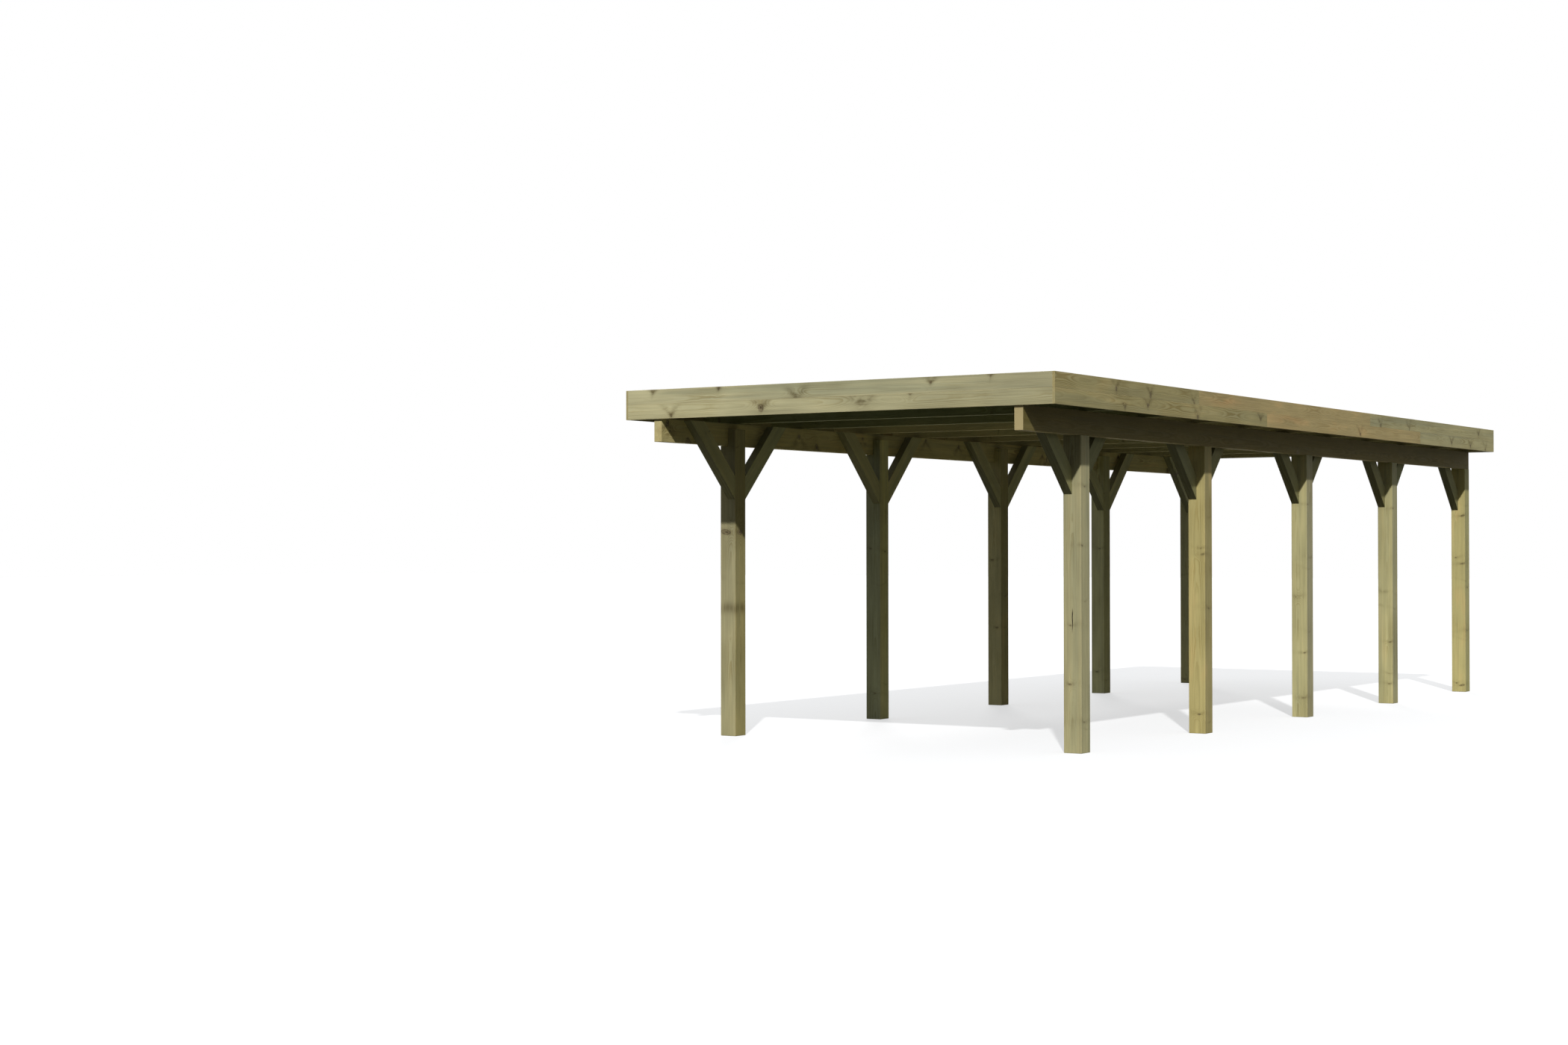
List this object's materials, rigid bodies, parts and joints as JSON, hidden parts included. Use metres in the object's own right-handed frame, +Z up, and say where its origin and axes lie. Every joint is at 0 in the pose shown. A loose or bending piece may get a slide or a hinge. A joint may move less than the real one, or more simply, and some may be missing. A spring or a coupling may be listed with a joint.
{
  "type": "carport",
  "caption": "Open timber carport: square posts with notched heads carry purlins, raking braces, rafters and a flat ribbed-sheet roof behind a two-board fascia.",
  "frame": {"origin": "on the ground under the middle of the roof", "axes": "+X across the drive to the right as seen from the open front, +Y along the drive from front to back, +Z up"},
  "size_m": [3.1, 8.38, 2.276],
  "materials": {
    "post_timber": "planed pressure-treated pine, green-tinged, knots and drying cracks",
    "beam_timber": "sawn pressure-treated pine, pale end grain",
    "fascia_boards": "planed pressure-treated pine boards, greyer streaks in the upper course",
    "roof_sheet": "plain grey coated ribbed sheet, slightly dusty"
  },
  "bodies": {
    "root": {"left_post_1": "post_timber", "left_braces_1": "beam_timber", "left_post_2": "post_timber", "left_braces_2": "beam_timber", "left_post_3": "post_timber", "left_braces_3": "beam_timber", "left_post_4": "post_timber", "left_braces_4": "beam_timber", "left_post_5": "post_timber", "left_braces_5": "beam_timber", "left_purlin": "beam_timber", "right_post_1": "post_timber", "right_braces_1": "beam_timber", "right_post_2": "post_timber", "right_braces_2": "beam_timber", "right_post_3": "post_timber", "right_braces_3": "beam_timber", "right_post_4": "post_timber", "right_braces_4": "beam_timber", "right_post_5": "post_timber", "right_braces_5": "beam_timber", "right_purlin": "beam_timber", "rafter_01": "beam_timber", "rafter_02": "beam_timber", "rafter_03": "beam_timber", "rafter_04": "beam_timber", "rafter_05": "beam_timber", "rafter_06": "beam_timber", "rafter_07": "beam_timber", "rafter_08": "beam_timber", "rafter_09": "beam_timber", "rafter_10": "beam_timber", "rafter_11": "beam_timber", "front_fascia_upper": "fascia_boards", "front_fascia_lower": "fascia_boards", "back_fascia_upper": "fascia_boards", "back_fascia_lower": "fascia_boards", "left_fascia_upper": "fascia_boards", "left_fascia_lower": "fascia_boards", "right_fascia_upper": "fascia_boards", "right_fascia_lower": "fascia_boards", "left_roof_sheet": "roof_sheet", "middle_roof_sheet": "roof_sheet", "right_roof_sheet": "roof_sheet"}
  },
  "joints": []
}
